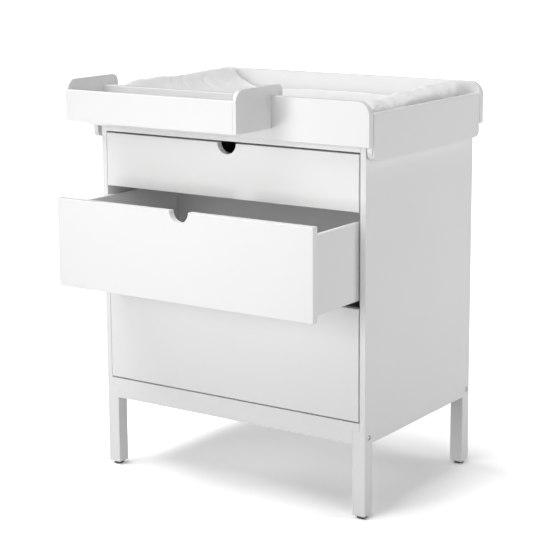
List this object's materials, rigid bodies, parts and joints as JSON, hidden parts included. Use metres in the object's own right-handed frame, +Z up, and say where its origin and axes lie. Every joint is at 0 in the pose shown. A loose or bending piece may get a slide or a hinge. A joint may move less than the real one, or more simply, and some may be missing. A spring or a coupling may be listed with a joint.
{
  "type": "changing table",
  "caption": "White chest of drawers on square legs with a lift-off changing tray, a contoured pad and a hook-on caddy, for changing a baby at standing height.",
  "frame": {"origin": "on the floor, under the middle of the whole footprint with the middle drawer drawn out as stored", "axes": "+X to the right of someone facing the drawers, +Y to the back, +Z up; the fronts face -Y"},
  "size_m": [0.846, 0.746, 1.048],
  "materials": {
    "white_board": "satin white lacquer on board",
    "white_leg": "satin white lacquer on solid wood",
    "white_drawer_board": "white foil on board",
    "white_thin_board": "white faced hardboard",
    "beech": "plain turned beech",
    "zinc_steel": "zinc plated",
    "chrome": "polished",
    "nylon": "moulded nylon",
    "glide": "moulded, dark",
    "pad_cover": "soft white cover over foam"
  },
  "bodies": {
    "cabinet": {"side_panel_left": "white_board", "side_panel_right": "white_board", "top_panel": "white_board", "back_panel": "white_thin_board", "front_rail": "white_board", "rear_rail": "white_board", "front_left_leg": "white_leg", "front_right_leg": "white_leg", "rear_left_leg": "white_leg", "rear_right_leg": "white_leg", "foot_glides": "glide", "leg_bolts": "chrome", "barrel_nuts": "zinc_steel", "carcass_dowels": "beech", "cabinet_rollers": "nylon", "runner_screws": "zinc_steel", "bottom_left_cabinet_runner": "zinc_steel", "bottom_right_cabinet_runner": "zinc_steel", "middle_left_cabinet_runner": "zinc_steel", "middle_right_cabinet_runner": "zinc_steel", "top_left_cabinet_runner": "zinc_steel", "top_right_cabinet_runner": "zinc_steel"},
    "bottom_drawer": {"bottom_drawer_front": "white_board", "bottom_drawer_back": "white_drawer_board", "bottom_drawer_bottom": "white_thin_board", "bottom_drawer_left_side": "white_drawer_board", "bottom_drawer_right_side": "white_drawer_board", "bottom_drawer_left_runner": "zinc_steel", "bottom_drawer_right_runner": "zinc_steel", "bottom_drawer_rollers": "nylon"},
    "middle_drawer": {"middle_drawer_front": "white_board", "middle_drawer_back": "white_drawer_board", "middle_drawer_bottom": "white_thin_board", "middle_drawer_left_side": "white_drawer_board", "middle_drawer_right_side": "white_drawer_board", "middle_drawer_left_runner": "zinc_steel", "middle_drawer_right_runner": "zinc_steel", "middle_drawer_rollers": "nylon"},
    "top_drawer": {"top_drawer_front": "white_board", "top_drawer_back": "white_drawer_board", "top_drawer_bottom": "white_thin_board", "top_drawer_left_side": "white_drawer_board", "top_drawer_right_side": "white_drawer_board", "top_drawer_left_runner": "zinc_steel", "top_drawer_right_runner": "zinc_steel", "top_drawer_rollers": "nylon"},
    "changing_tray": {"tray_front_wall": "white_board", "tray_back_wall": "white_board", "tray_left_wall": "white_board", "tray_right_wall": "white_board", "tray_floor": "white_board", "tray_dowels": "beech"},
    "caddy": {"caddy_front": "white_board", "caddy_back": "white_board", "caddy_floor": "white_board", "caddy_left_side": "white_board", "caddy_right_side": "white_board"},
    "pad": {"changing_pad": "pad_cover"}
  },
  "joints": [
    {"name": "bottom_drawer_slide", "type": "slide", "parent": "cabinet", "child": "bottom_drawer", "axis": [0, -1, 0], "range_m": [0, 0.35]},
    {"name": "middle_drawer_slide", "type": "slide", "parent": "cabinet", "child": "middle_drawer", "axis": [0, -1, 0], "range_m": [-0.198, 0.152]},
    {"name": "top_drawer_slide", "type": "slide", "parent": "cabinet", "child": "top_drawer", "axis": [0, -1, 0], "range_m": [0, 0.35]},
    {"name": "tray_lift", "type": "slide", "parent": "cabinet", "child": "changing_tray", "axis": [0, 0, 1], "range_m": [0, 0.12]},
    {"name": "caddy_lift", "type": "slide", "parent": "changing_tray", "child": "caddy", "axis": [0, 0, 1], "range_m": [0, 0.12]},
    {"name": "pad_lift", "type": "slide", "parent": "changing_tray", "child": "pad", "axis": [0, 0, 1], "range_m": [0, 0.15]}
  ]
}
